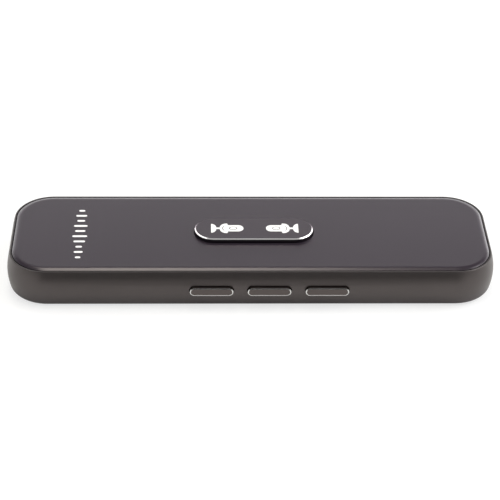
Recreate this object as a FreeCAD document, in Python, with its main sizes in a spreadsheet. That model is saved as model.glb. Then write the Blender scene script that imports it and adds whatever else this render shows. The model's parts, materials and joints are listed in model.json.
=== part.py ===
# Handheld translator: a slim bar with a rocker key on top and three buttons in its side wall.
# Frame: +X along the bar, +Y away from the buttons, +Z up, origin under the middle, in millimetres.
import FreeCAD, Part
import Sketcher
import math
import os

Vector = FreeCAD.Vector
doc = FreeCAD.newDocument("handheld_translator")
sheet = doc.addObject("Spreadsheet::Sheet", "Sizes")

# Driving dimensions: name, value in millimetres (angles in degrees), what it is
DIMENSIONS = [
    # casing
    ("body_length", 141.0, "overall length at the widest outline"),
    ("body_width", 42.0, "overall width at the widest outline"),
    ("corner_radius", 12.0, "plan radius of the corners at the widest outline"),
    ("bulge_radius", 17.5, "radius of the side wall's bulge"),
    ("bulge_level", 5.9, "height of the widest outline"),
    ("bottom_round", 1.9, "round between the wall and the underside"),
    ("lip_level", 11.6, "height of the wall's upper rim"),
    ("lip_bevel", 0.12, "bevel on the outer edge of the rim"),
    ("cavity_inset", 2.6, "widest outline to the inside of the wall"),
    ("floor_thick", 1.2, "casing floor"),
    ("boss_radius", 2.1, "screw bosses"),
    ("boss_pilot_gap", 0.05, "radial gap round a screw in its boss"),
    ("boss_inset_x", 12.5, "end of the casing to the boss axis"),
    ("boss_inset_y", 7.5, "side of the casing to the boss axis"),
    ("cut_margin", 1.0, "how far a cut starts before the wall that it goes through, and ends past it"),
    # top plate
    ("plate_inset", 1.68, "widest outline to the edge of the plate"),
    ("plate_gap", 0.3, "gap round the plate"),
    ("plate_thick", 1.2, "plate"),
    ("plate_rise", 0.4, "how far the plate's top stands above the rim"),
    ("plate_edge_run", 1.5, "width of the plate's curved edge"),
    ("tape_thick", 0.15, "adhesive ring under the plate"),
    ("tape_margin", 0.12, "ring edge to the ledge's edges"),
    # rocker key
    ("key_x", 0.9, "middle of the key along the bar"),
    ("key_length", 34.5, "key"),
    ("key_width", 11.2, "key"),
    ("key_proud", 1.3, "how far the key stands above the plate"),
    ("key_bevel", 0.3, "bright bevel round the key's top"),
    ("key_clearance", 0.3, "gap between the key and the plate's hole"),
    ("flange_lap", 1.5, "how far the key's flange reaches under the plate at its ends"),
    ("flange_side_lap", 1.3, "how far the key's flange reaches under the plate at its sides"),
    ("flange_thick", 0.8, "key flange"),
    ("flange_drop", 0.7, "plate's underside to the key flange"),
    ("hub_length", 4.0, "pivot hub under the key, along the bar"),
    ("hub_wall", 0.32, "hub wall above and below the pin"),
    ("pin_radius", 0.5, "pivot pin"),
    ("pin_clearance", 0.03, "radial running clearance of the key on its pin"),
    ("pin_stub", 0.3, "pin end past the bracket's ear"),
    ("bracket_thick", 0.3, "sheet of the pivot bracket"),
    ("bracket_length", 5.0, "pivot bracket along the bar"),
    ("bracket_side_gap", 0.3, "hub end to the bracket's ear"),
    ("hub_floor_gap", 0.15, "hub to the bracket's base"),
    ("key_room", 2.6, "plate's underside to the board's top"),
    ("post_reach", 12.0, "key middle to a mat post"),
    ("post_radius", 1.6, "mat post"),
    ("mat_thick", 0.65, "mat sheet"),
    ("mat_length", 31.0, "mat sheet"),
    ("mat_web", 1.6, "mat on each side of the bracket"),
    ("mat_gap", 0.6, "mat window round the bracket"),
    ("dome_radius", 2.5, "snap dome"),
    ("dome_rise", 0.35, "snap dome"),
    ("dome_thick", 0.1, "snap dome sheet"),
    ("dome_room", 0.08, "mat recess round a dome"),
    # side buttons
    ("button_x", 4.95, "middle button along the bar"),
    ("button_pitch", 16.5, "spacing of the side buttons"),
    ("button_length", 12.4, "button cap"),
    ("button_height", 2.6, "button cap"),
    ("button_proud", 0.9, "cap face outside the widest outline"),
    ("button_bevel_width", 0.32, "bright bevel round the cap, across its face"),
    ("button_bevel_depth", 0.12, "bright bevel round the cap, down its side"),
    ("button_gap", 0.22, "gap between a cap and its window"),
    ("button_lap", 0.8, "how far the cap's flange reaches behind the wall"),
    ("button_flange", 0.8, "cap flange"),
    ("button_seat", 0.05, "wall to the cap's flange at rest"),
    ("button_travel", 0.3, "press of a button"),
    ("nub_radius", 0.9, "nub behind the cap"),
    ("nub_length", 0.7, "nub behind the cap"),
    ("nub_gap", 0.02, "nub to the switch plunger at rest"),
    ("switch_length", 4.6, "side switch along the bar"),
    ("switch_height", 2.6, "side switch"),
    ("switch_depth", 2.4, "side switch"),
    ("plunger_length", 1.8, "switch plunger along the bar"),
    ("plunger_height", 1.2, "switch plunger"),
    ("plunger_out", 0.6, "plunger in front of the switch"),
    ("plunger_in", 0.5, "plunger inside the switch"),
    ("plunger_gap", 0.1, "plunger to its pocket"),
    # board
    ("board_thick", 1.0, "main board"),
    ("board_margin", 1.7, "cavity wall to the board's edge"),
    ("screw_radius", 0.6, "board screw shank"),
    ("screw_head_radius", 1.4, "board screw head"),
    ("screw_head_thick", 0.8, "board screw head"),
    ("screw_length", 4.6, "board screw under its head"),
    ("screw_hole_gap", 0.15, "board hole round the screw"),
    ("screw_slot_long", 1.7, "cross recess in the screw's head"),
    ("screw_slot_wide", 0.35, "cross recess in the screw's head"),
    ("screw_slot_deep", 0.4, "cross recess in the screw's head"),
    # battery
    ("cell_thick", 4.5, "pouch cell"),
    ("cell_round", 1.2, "long edges of the pouch"),
    ("cell_boss_gap", 0.9, "left bosses to the cell"),
    ("cell_speaker_gap", 18.5, "cell to the speaker, room for its board, leads and socket"),
    ("cell_switch_gap", 1.2, "side switches to the cell"),
    ("cell_wall_gap", 1.0, "cell to the casing wall behind it"),
    ("pad_thick", 0.2, "adhesive pad under the cell"),
    ("pad_margin", 3.0, "cell edge to the pad's edge"),
    ("cell_board_depth", 3.0, "protection board along the bar"),
    ("cell_board_thick", 0.8, "protection board"),
    ("socket_length", 3.0, "battery socket along the bar"),
    ("socket_width", 5.0, "battery socket"),
    ("socket_height", 1.6, "battery socket"),
    ("battery_lead_reach", 7.0, "pads of the battery leads to the middle of their socket"),
    # speaker
    ("speaker_inset", 33.5, "end of the casing to the speaker's middle"),
    ("speaker_length", 27.0, "speaker"),
    ("speaker_width", 17.0, "speaker"),
    ("speaker_thick", 3.2, "speaker basket"),
    ("speaker_corner", 3.5, "speaker corners"),
    ("speaker_rim", 1.3, "speaker basket wall"),
    ("speaker_back", 0.6, "speaker basket's back plate"),
    ("film_thick", 0.25, "speaker diaphragm"),
    ("film_crown", 0.6, "speaker diaphragm over its stiff middle"),
    ("film_corner", 2.0, "corners of the stiff middle"),
    ("film_setback", 0.2, "gasket to the speaker diaphragm"),
    ("gasket_thick", 0.5, "foam ring under the speaker"),
    ("gasket_width", 1.1, "foam ring"),
    ("mesh_thick", 0.12, "acoustic mesh"),
    ("mesh_gap", 0.4, "foam ring to the mesh"),
    ("speaker_lead_reach", 4.0, "speaker leads along the bar"),
    ("terminal_inset", 1.5, "speaker magnet to its leads"),
    ("magnet_length", 15.0, "speaker magnet"),
    ("magnet_width", 8.0, "speaker magnet"),
    ("magnet_thick", 1.8, "speaker magnet"),
    ("grille_radius", 0.55, "sound hole in the floor"),
    ("grille_pitch", 2.3, "spacing of the sound holes"),
    ("grille_columns", 9.0, "sound holes along the bar"),
    ("grille_rows", 3.0, "sound holes across the bar"),
    # charging socket
    ("usb_width", 8.94, "socket shell"),
    ("usb_height", 3.16, "socket shell"),
    ("usb_depth", 7.4, "socket shell"),
    ("usb_sheet", 0.28, "socket shell sheet"),
    ("usb_recess", 0.5, "end of the casing to the socket's mouth"),
    ("usb_clearance", 0.15, "casing opening round the shell"),
    ("tongue_width", 6.7, "socket tongue"),
    ("tongue_thick", 0.7, "socket tongue"),
    ("tongue_reach", 4.6, "socket tongue in front of its block"),
    ("contact_width", 0.25, "socket contact"),
    ("contact_pitch", 0.5, "socket contacts"),
    ("contact_count", 12.0, "contacts on each face of the tongue"),
    ("contact_thick", 0.06, "socket contact"),
    ("contact_setback", 0.3, "tip of the tongue to its contacts"),
    ("tongue_setback", 0.6, "socket's mouth to the tip of its tongue"),
    # microphones and charge light
    ("mic_length", 3.5, "microphone"),
    ("mic_width", 2.65, "microphone"),
    ("mic_thick", 1.0, "microphone"),
    ("mic_usb_gap", 0.6, "socket to the microphone boot beside it"),
    ("boot_width", 3.7, "microphone boot across the bar"),
    ("boot_back", 0.8, "boot behind its microphone"),
    ("boot_length", 5.4, "microphone boot along the bar"),
    ("boot_height", 3.6, "microphone boot"),
    ("boot_gap", 0.25, "boot to the casing wall"),
    ("sound_hole_radius", 0.5, "microphone hole in the end wall"),
    ("light_radius", 0.7, "light guide"),
    ("light_usb_gap", 2.8, "socket to the charge light beside it"),
    ("light_recess", 0.3, "end of the casing to the light guide"),
    ("light_reach", 1.2, "light guide inside the wall"),
    ("led_length", 1.2, "charge light's lamp along the bar"),
    ("led_width", 1.6, "charge light's lamp"),
    ("led_height", 2.1, "charge light's lamp under the board"),
    ("led_gap", 0.1, "lamp to the light guide"),
    ("wire_radius", 0.35, "battery and speaker leads"),
    ("wire_stub", 0.15, "straight end of a lead before its bend"),
    ("wire_spacing", 1.6, "spacing of a pair of leads"),
    # what is soldered on top of the board
    ("can_length", 24.0, "shield can"),
    ("can_width", 18.0, "shield can"),
    ("can_height", 1.7, "shield can"),
    ("can_corner", 1.0, "shield can corners"),
    ("can_sheet", 0.2, "shield can sheet"),
    ("can_from_end", 28.7, "left end of the board to the can's middle"),
    ("passive_length", 1.6, "small resistor or capacitor"),
    ("passive_width", 0.8, "small resistor or capacitor"),
    ("passive_height", 0.7, "small resistor or capacitor"),
]

# Moulded chips: name, length, width, height, what it is measured from, distance from it, y
CHIPS = [
    ("processor", 10.0, 10.0, 1.0, "can middle", -4.5, 0.0),
    ("memory_chip", 8.0, 6.0, 0.9, "can middle", 6.0, 3.0),
    ("wireless_module", 8.0, 9.0, 1.4, "can end", -5.5, 0.0),
    ("chip_antenna", 2.0, 7.0, 1.2, "left end", 2.7, 0.0),
    ("crystal", 3.2, 2.5, 0.7, "left end", 41.2, -12.0),
    ("audio_codec", 5.0, 5.0, 0.8, "right end", -36.2, 6.0),
    ("charge_chip", 4.0, 4.0, 0.8, "right end", -14.2, -7.0),
]
for chip, length, width, height, datum, distance, chip_y in CHIPS:
    DIMENSIONS.append((chip + "_length", length, "chip along the bar"))
    DIMENSIONS.append((chip + "_width", width, "chip across the bar"))
    DIMENSIONS.append((chip + "_height", height, "chip"))
    DIMENSIONS.append((chip + "_x", distance, datum + " to the chip's middle"))
    DIMENSIONS.append((chip + "_y", chip_y, "chip's middle across the bar"))

# Small resistors and capacitors: what each is measured from, distance from it, y
PASSIVES = [
    ("right end", -31.2, 9.0), ("right end", -31.2, 6.5), ("right end", -31.2, 4.0),
    ("right end", -27.2, 9.0), ("right end", -27.2, 6.5),
    ("right end", -20.2, -5.0), ("right end", -20.2, -7.5), ("right end", -20.2, -10.0),
    ("right end", -8.7, -5.0), ("right end", -8.7, -7.5),
    ("left end", 44.2, -12.0), ("left end", 47.2, -12.0),
    ("can end", -5.5, 8.0), ("can end", -1.5, 8.0),
]
for number, (datum, distance, passive_y) in enumerate(PASSIVES, start=1):
    DIMENSIONS.append(("passive_%d_x" % number, distance, datum + " to the piece's middle"))
    DIMENSIONS.append(("passive_%d_y" % number, passive_y, "piece's middle across the bar"))


class Size:
    """A number from the sheet together with the formula that binds a property to it."""

    def __init__(self, number, text):
        self.number = number
        self.text = text

    def __add__(self, other):
        other = as_size(other)
        return Size(self.number + other.number, "(%s + %s)" % (self.text, other.text))

    def __sub__(self, other):
        other = as_size(other)
        return Size(self.number - other.number, "(%s - %s)" % (self.text, other.text))

    def __mul__(self, other):
        other = as_size(other)
        return Size(self.number * other.number, "(%s * %s)" % (self.text, other.text))

    def __truediv__(self, other):
        other = as_size(other)
        return Size(self.number / other.number, "(%s / %s)" % (self.text, other.text))

    def __neg__(self):
        return Size(-self.number, "(0 - %s)" % self.text)

    __radd__ = __add__
    __rmul__ = __mul__

    def __rsub__(self, other):
        return as_size(other) - self

    def root(self):
        return Size(math.sqrt(self.number), "sqrt(%s)" % self.text)


def as_size(thing):
    if isinstance(thing, Size):
        return thing
    return Size(float(thing), "(%r)" % float(thing))


SIZES = {}
for row, (alias, value, note) in enumerate(DIMENSIONS, start=1):
    sheet.set("A%d" % row, alias)
    sheet.set("B%d" % row, str(value))
    sheet.set("C%d" % row, note)
    sheet.setAlias("B%d" % row, alias)
    SIZES[alias] = Size(value, "Sizes." + alias)
doc.recompute()


def size(alias):
    return SIZES[alias]


def bind(thing, path, value):
    """Tie a property to the sheet, or set it plainly when it has no formula."""
    thing.setExpression(path, as_size(value).text)


def place(thing, x=0, y=0, z=0):
    for axis, value in (("x", x), ("y", y), ("z", z)):
        bind(thing, ".Placement.Base." + axis, value)


# Levels that several pieces share
half_length = size("body_length") / 2
half_width = size("body_width") / 2
plate_top = size("lip_level") + size("plate_rise")
plate_under = plate_top - size("plate_thick")
ledge_level = plate_under - size("tape_thick")
board_top = plate_under - size("key_room")
board_under = board_top - size("board_thick")
button_level = board_under - size("switch_height") / 2
bracket_floor = board_top + size("bracket_thick")
bore_radius = size("pin_radius") + size("pin_clearance")
pin_level = bracket_floor + size("hub_floor_gap") + size("hub_wall") + bore_radius
flange_top = plate_under - size("flange_drop")
flange_under = flange_top - size("flange_thick")
cavity_half_length = half_length - size("cavity_inset")
cavity_half_width = half_width - size("cavity_inset")
cavity_corner = size("corner_radius") - size("cavity_inset")


# Sketch helpers
def new_body(name):
    return doc.addObject("PartDesign::Body", name)


def new_sketch(body, name, role, x=0, y=0, z=0):
    """A sketch on one of the body's own origin planes, moved in the plane's own axes."""
    sketch = body.newObject("Sketcher::SketchObject", name)
    for plane in body.Origin.OriginFeatures:
        if plane.Role == role:
            sketch.AttachmentSupport = [(plane, "")]
    sketch.MapMode = "FlatFace"
    for axis, value in (("x", x), ("y", y), ("z", z)):
        bind(sketch, ".AttachmentOffset.Base." + axis, value)
    return sketch


def constrain(sketch, kind, where, value):
    value = as_size(value)
    index = sketch.addConstraint(Sketcher.Constraint(kind, *where, value.number))
    sketch.setExpression("Constraints[%d]" % index, value.text)


def fix_point(sketch, item, end, x, y):
    constrain(sketch, "DistanceX", (-1, 1, item, end), x)
    constrain(sketch, "DistanceY", (-1, 1, item, end), y)


def line(x1, y1, x2, y2):
    ends = [as_size(value).number for value in (x1, y1, x2, y2)]
    return Part.LineSegment(Vector(ends[0], ends[1], 0), Vector(ends[2], ends[3], 0))


def arc(x, y, radius, start, stop):
    centre = Vector(as_size(x).number, as_size(y).number, 0)
    circle = Part.Circle(centre, Vector(0, 0, 1), as_size(radius).number)
    return Part.ArcOfCircle(circle, math.radians(start), math.radians(stop))


def rounded_rectangle(sketch, length, width, corner):
    """Straight sides joined by corner arcs, centred on the sketch's origin."""
    right = length / 2
    top = width / 2
    inner_right = right - corner
    inner_top = top - corner
    first = sketch.GeometryCount
    sketch.addGeometry(line(-inner_right, -top, inner_right, -top))
    sketch.addGeometry(arc(inner_right, -inner_top, corner, -90, 0))
    sketch.addGeometry(line(right, -inner_top, right, inner_top))
    sketch.addGeometry(arc(inner_right, inner_top, corner, 0, 90))
    sketch.addGeometry(line(inner_right, top, -inner_right, top))
    sketch.addGeometry(arc(-inner_right, inner_top, corner, 90, 180))
    sketch.addGeometry(line(-right, inner_top, -right, -inner_top))
    sketch.addGeometry(arc(-inner_right, -inner_top, corner, 180, 270))
    for side, kind in enumerate(("Horizontal", "Vertical", "Horizontal", "Vertical")):
        straight = first + 2 * side
        bend = straight + 1
        following = first + (2 * side + 2) % 8
        sketch.addConstraint(Sketcher.Constraint(kind, straight))
        sketch.addConstraint(Sketcher.Constraint("Tangent", straight, 2, bend, 1))
        sketch.addConstraint(Sketcher.Constraint("Tangent", bend, 2, following, 1))
    for side in (1, 2, 3):
        sketch.addConstraint(Sketcher.Constraint("Equal", first + 1, first + 2 * side + 1))
    constrain(sketch, "Radius", (first + 1,), corner)
    fix_point(sketch, first + 3, 3, inner_right, inner_top)
    fix_point(sketch, first + 7, 3, -inner_right, -inner_top)


def pill(sketch, length, width):
    """Two straight sides joined by half circles, centred on the sketch's origin."""
    radius = width / 2
    reach = length / 2 - radius
    first = sketch.GeometryCount
    sketch.addGeometry(line(-reach, -radius, reach, -radius))
    sketch.addGeometry(arc(reach, 0, radius, -90, 90))
    sketch.addGeometry(line(reach, radius, -reach, radius))
    sketch.addGeometry(arc(-reach, 0, radius, 90, 270))
    for step in range(4):
        following = first + (step + 1) % 4
        sketch.addConstraint(Sketcher.Constraint("Tangent", first + step, 2, following, 1))
    sketch.addConstraint(Sketcher.Constraint("Equal", first + 1, first + 3))
    sketch.addConstraint(Sketcher.Constraint("Horizontal", first))
    constrain(sketch, "Radius", (first + 1,), radius)
    fix_point(sketch, first + 1, 3, reach, 0)
    constrain(sketch, "DistanceX", (first + 3, 3, first + 1, 3), reach * 2)


def rectangle(sketch, length, width):
    right = length / 2
    top = width / 2
    polygon(sketch, [(-right, -top), (right, -top), (right, top), (-right, top)])


def polygon(sketch, points):
    first = sketch.GeometryCount
    count = len(points)
    for index, (x, y) in enumerate(points):
        following = points[(index + 1) % count]
        sketch.addGeometry(line(x, y, following[0], following[1]))
    for index, (x, y) in enumerate(points):
        fix_point(sketch, first + index, 1, x, y)
        previous = first + (index - 1) % count
        sketch.addConstraint(Sketcher.Constraint("Coincident", previous, 2, first + index, 1))


def disc(sketch, radius, x=0, y=0):
    centre = Vector(as_size(x).number, as_size(y).number, 0)
    item = sketch.addGeometry(Part.Circle(centre, Vector(0, 0, 1), as_size(radius).number))
    constrain(sketch, "Radius", (item,), radius)
    fix_point(sketch, item, 3, x, y)


# Feature helpers
def pad(body, name, sketch, length, backwards=False):
    feature = body.newObject("PartDesign::Pad", name)
    feature.Profile = sketch
    bind(feature, "Length", length)
    feature.Reversed = backwards
    return feature


def pocket(body, name, sketch, length, backwards=False):
    """A cut along the sketch's own normal, or against it when backwards is set."""
    doc.recompute()
    before = body.Shape.Volume
    feature = body.newObject("PartDesign::Pocket", name)
    feature.Profile = sketch
    bind(feature, "Length", length)
    feature.Reversed = not backwards
    doc.recompute()
    if not body.Shape.Volume < before - 1e-6:
        raise RuntimeError(name + " cuts nothing")
    return feature


def edges_where(shape, test):
    return ["Edge%d" % (index + 1) for index, edge in enumerate(shape.Edges) if test(edge)]


def bevel(body, name, test, amount, other=None):
    """A bevel on every edge of the body's tip that passes the test, with one width or two."""
    doc.recompute()
    base = body.Tip
    feature = body.newObject("PartDesign::Chamfer", name)
    feature.Base = (base, edges_where(base.Shape, test))
    bind(feature, "Size", amount)
    if other is not None:
        feature.ChamferType = "Two distances"
        bind(feature, "Size2", other)
    return feature


def block(name, length, width, height, x, y, z):
    """A plain box with its middle at x, y and its underside at z."""
    box = doc.addObject("Part::Box", name)
    bind(box, "Length", length)
    bind(box, "Width", width)
    bind(box, "Height", height)
    place(box, as_size(x) - as_size(length) / 2, as_size(y) - as_size(width) / 2, z)
    return box


def group(name, members):
    compound = doc.addObject("Part::Compound", name)
    compound.Links = members
    return compound


def ring(body, name, section, outline):
    """Sweep a section once round a rounded rectangle."""
    feature = body.newObject("PartDesign::AdditivePipe", name)
    feature.Profile = section
    feature.Spine = (outline, ["Edge%d" % number for number in range(1, 9)])
    return feature


def level_edge(height):
    """A test for edges that lie wholly at one height."""
    low = height.number - 1e-4
    high = height.number + 1e-4
    return lambda edge: edge.BoundBox.ZMin > low and edge.BoundBox.ZMax < high


NODES = []


def keep(thing, label):
    thing.Label = label
    NODES.append(thing)
    return thing


BOSS_X = half_length - size("boss_inset_x")
BOSS_Y = half_width - size("boss_inset_y")
BOSSES = [(BOSS_X * sx, BOSS_Y * sy) for sx in (-1, 1) for sy in (-1, 1)]
BUTTONS = [("left", -1), ("middle", 0), ("right", 1)]
USB_LEVEL = board_under - size("usb_height") / 2
LIGHT_LEVEL = board_under - size("light_radius") * 2
SOUND_LEVEL = board_under - size("mic_thick") - size("sound_hole_radius") * 2
WINDOW_LENGTH = size("button_length") + size("button_gap") * 2
WINDOW_HEIGHT = size("button_height") + size("button_gap") * 2
RECESS_INSET = size("plate_inset") - size("plate_gap")
SPEAKER_X = half_length - size("speaker_inset")
MIC_Y = size("usb_width") / 2 + size("mic_usb_gap") + size("boot_width") / 2
LIGHT_Y = -(size("usb_width") / 2 + size("light_usb_gap") + size("light_radius"))


def button_middle(step):
    return size("button_x") + size("button_pitch") * step


# Casing
def make_casing():
    """A tub whose bulged wall is one section swept round the bar, closed by a flat floor."""
    body = new_body("casing")
    outline = new_sketch(body, "casing_outline", "XY_Plane")
    rounded_rectangle(outline, half_length * 2, half_width * 2, size("corner_radius"))
    section = new_sketch(body, "casing_section", "YZ_Plane")
    wall_section(section)
    ring(body, "casing_wall", section, outline)
    floor = new_sketch(body, "casing_floor_outline", "XY_Plane")
    overlap = (size("cavity_inset") - bottom_inset()) / 2
    rounded_rectangle(
        floor, (cavity_half_length + overlap) * 2, (cavity_half_width + overlap) * 2, cavity_corner + overlap
    )
    pad(body, "casing_floor", floor, size("floor_thick"))
    bosses = new_sketch(body, "boss_outline", "XY_Plane", z=size("floor_thick"))
    pilots = new_sketch(body, "pilot_outline", "XY_Plane", z=size("floor_thick"))
    for x, y in BOSSES:
        disc(bosses, size("boss_radius"), x, y)
        disc(pilots, size("screw_radius") + size("boss_pilot_gap"), x, y)
    pad(body, "bosses", bosses, board_under - size("floor_thick"))
    pocket(body, "boss_pilots", pilots, board_under - size("floor_thick"))
    margin = size("cut_margin")
    through = size("cavity_inset") + margin * 2
    for label, step in BUTTONS:
        inside = cavity_half_width - margin
        window = new_sketch(
            body, "window_" + label, "XZ_Plane", x=button_middle(step), y=button_level, z=inside
        )
        pill(window, WINDOW_LENGTH, WINDOW_HEIGHT)
        pocket(body, "window_cut_" + label, window, through)
    end = cavity_half_length - margin
    mouth = new_sketch(body, "usb_mouth", "YZ_Plane", y=USB_LEVEL, z=end)
    play = size("usb_clearance") * 2
    pill(mouth, size("usb_width") + play, size("usb_height") + play)
    pocket(body, "usb_mouth_cut", mouth, through)
    right_holes = new_sketch(body, "right_holes", "YZ_Plane", z=end)
    disc(right_holes, size("sound_hole_radius"), MIC_Y, SOUND_LEVEL)
    disc(right_holes, size("light_radius"), LIGHT_Y, LIGHT_LEVEL)
    pocket(body, "right_hole_cuts", right_holes, through)
    left_hole = new_sketch(body, "left_hole", "YZ_Plane", z=-end)
    disc(left_hole, size("sound_hole_radius"), 0, SOUND_LEVEL)
    pocket(body, "left_hole_cut", left_hole, through, backwards=True)
    grille = new_sketch(body, "grille", "XY_Plane")
    columns = int(size("grille_columns").number)
    rows = int(size("grille_rows").number)
    for column in range(columns):
        for line_number in range(rows):
            x = SPEAKER_X + size("grille_pitch") * (column - (columns - 1) / 2)
            y = size("grille_pitch") * (line_number - (rows - 1) / 2)
            disc(grille, size("grille_radius"), x, y)
    pocket(body, "grille_cuts", grille, size("floor_thick") + margin)
    keep(body, "casing")


def bottom_inset():
    """Widest outline to the line where the bottom round meets the flat underside."""
    reach = size("bulge_radius") - size("bottom_round")
    rise = size("bulge_level") - size("bottom_round")
    return size("bulge_radius") - (reach * reach - rise * rise).root()


def wall_section(sketch):
    """The wall on the -Y side: flat, bottom round, bulge, bevel, rim, recess, ledge, inside."""
    outside = -half_width
    inside = -cavity_half_width
    low = size("bottom_round")
    bulge = size("bulge_radius")
    level = size("bulge_level")
    bevelled = size("lip_level") - size("lip_bevel")
    bulge_centre = outside + bulge
    reach = bulge - low
    low_centre = outside + bottom_inset()
    rise = bevelled - level
    top_y = bulge_centre - (bulge * bulge - rise * rise).root()
    recess = outside + RECESS_INSET
    turn = math.degrees(math.asin((level - low).number / reach.number))
    climb = math.degrees(math.asin(rise.number / bulge.number))
    flat = sketch.addGeometry(line(inside, 0, low_centre, 0))
    corner = sketch.addGeometry(arc(low_centre, low, low, 180 + turn, 270))
    wall = sketch.addGeometry(arc(bulge_centre, level, bulge, 180 - climb, 180 + turn))
    points = [
        (top_y, bevelled),
        (top_y + size("lip_bevel"), size("lip_level")),
        (recess, size("lip_level")),
        (recess, ledge_level),
        (inside, ledge_level),
        (inside, 0),
    ]
    straights = []
    for start, stop in zip(points, points[1:]):
        straights.append(sketch.addGeometry(line(start[0], start[1], stop[0], stop[1])))
    sketch.addConstraint(Sketcher.Constraint("Tangent", flat, 2, corner, 2))
    sketch.addConstraint(Sketcher.Constraint("Tangent", corner, 1, wall, 2))
    sketch.addConstraint(Sketcher.Constraint("Coincident", wall, 1, straights[0], 1))
    for item, following in zip(straights, straights[1:]):
        sketch.addConstraint(Sketcher.Constraint("Coincident", item, 2, following, 1))
    sketch.addConstraint(Sketcher.Constraint("Coincident", straights[-1], 2, flat, 1))
    sketch.addConstraint(Sketcher.Constraint("Horizontal", flat))
    constrain(sketch, "Radius", (corner,), low)
    constrain(sketch, "Radius", (wall,), bulge)
    fix_point(sketch, wall, 3, bulge_centre, level)
    constrain(sketch, "DistanceY", (-1, 1, wall, 1), bevelled)
    for item, point in zip(straights, points[1:]):
        fix_point(sketch, item, 2, point[0], point[1])


# Top plate and its tape
def make_top_plate():
    """A plate whose edge is swept as one section, with the key's pill hole through it."""
    body = new_body("top_plate")
    edge_half_length = half_length - size("plate_inset")
    edge_half_width = half_width - size("plate_inset")
    edge_corner = size("corner_radius") - size("plate_inset")
    outline = new_sketch(body, "plate_outline", "XY_Plane")
    rounded_rectangle(outline, edge_half_length * 2, edge_half_width * 2, edge_corner)
    section = new_sketch(body, "plate_section", "YZ_Plane")
    run = size("plate_edge_run")
    drop = size("plate_rise")
    bend = (run * run + drop * drop) / (drop * 2)
    edge = -edge_half_width
    tangent = edge + run
    inner = tangent + run
    sweep = math.degrees(math.asin(run.number / bend.number))
    curve = section.addGeometry(arc(tangent, plate_top - bend, bend, 90, 90 + sweep))
    points = [
        (edge, size("lip_level")),
        (edge, plate_under),
        (inner, plate_under),
        (inner, plate_top),
        (tangent, plate_top),
    ]
    straights = []
    for start, stop in zip(points, points[1:]):
        straights.append(section.addGeometry(line(start[0], start[1], stop[0], stop[1])))
    section.addConstraint(Sketcher.Constraint("Coincident", curve, 2, straights[0], 1))
    for item, following in zip(straights, straights[1:]):
        section.addConstraint(Sketcher.Constraint("Coincident", item, 2, following, 1))
    section.addConstraint(Sketcher.Constraint("Coincident", straights[-1], 2, curve, 1))
    fix_point(section, straights[0], 1, edge, size("lip_level"))
    for item, point in zip(straights, points[1:]):
        fix_point(section, item, 2, point[0], point[1])
    constrain(section, "Radius", (curve,), bend)
    ring(body, "plate_edge", section, outline)
    core = new_sketch(body, "plate_core", "XY_Plane", z=plate_under)
    overlap = run + run / 2
    rounded_rectangle(
        core, (edge_half_length - overlap) * 2, (edge_half_width - overlap) * 2, edge_corner - overlap
    )
    pad(body, "plate_middle", core, size("plate_thick"))
    start = plate_under - size("cut_margin")
    hole = new_sketch(body, "key_hole", "XY_Plane", x=size("key_x"), z=start)
    play = size("key_clearance") * 2
    pill(hole, size("key_length") + play, size("key_width") + play)
    pocket(body, "key_hole_cut", hole, size("plate_thick") + size("cut_margin") * 2)
    keep(body, "top_plate")


def make_plate_tape():
    body = new_body("plate_tape")
    flat = new_sketch(body, "tape_outline", "XY_Plane")
    outer = RECESS_INSET + size("tape_margin")
    inner = size("cavity_inset") - size("tape_margin")
    for inset in (outer, inner):
        rounded_rectangle(
            flat, (half_length - inset) * 2, (half_width - inset) * 2, size("corner_radius") - inset
        )
    pad(body, "tape", flat, size("tape_thick"))
    place(body, z=ledge_level)
    keep(body, "plate_tape")


# Rocker key, its pin, bracket, mat and domes
HUB_WIDTH = size("key_width") + size("flange_side_lap") * 2
EAR_INSIDE = HUB_WIDTH / 2 + size("bracket_side_gap")
EAR_OUTSIDE = EAR_INSIDE + size("bracket_thick")


def make_rocker_key():
    """The pill seen from above, with a wider flange under the plate and a bored hub."""
    body = new_body("rocker_key")
    flange = new_sketch(body, "key_flange_outline", "XY_Plane", z=flange_under)
    pill(flange, size("key_length") + size("flange_lap") * 2, HUB_WIDTH)
    pad(body, "key_flange", flange, size("flange_thick"))
    top = new_sketch(body, "key_outline", "XY_Plane", z=flange_under)
    pill(top, size("key_length"), size("key_width"))
    pad(body, "key_pill", top, plate_top + size("key_proud") - flange_under)
    bevel(body, "key_bright_bevel", level_edge(plate_top + size("key_proud")), size("key_bevel"))
    hub_half = bore_radius + size("hub_wall")
    hub = new_sketch(body, "hub_outline", "XY_Plane", z=pin_level - hub_half)
    rectangle(hub, size("hub_length"), HUB_WIDTH)
    pad(body, "hub", hub, hub_half * 2)
    bore = new_sketch(body, "bore_outline", "XZ_Plane", y=pin_level, z=-HUB_WIDTH)
    disc(bore, bore_radius)
    pocket(body, "bore", bore, HUB_WIDTH * 2)
    place(body, size("key_x"))
    keep(body, "rocker_key")


def make_key_pin():
    pin = doc.addObject("Part::Cylinder", "key_pin")
    half = EAR_OUTSIDE + size("pin_stub")
    bind(pin, "Radius", size("pin_radius"))
    bind(pin, "Height", half * 2)
    pin.Placement.Rotation = FreeCAD.Rotation(Vector(1, 0, 0), -90)
    place(pin, size("key_x"), -half, pin_level)
    keep(pin, "key_pin")


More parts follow.
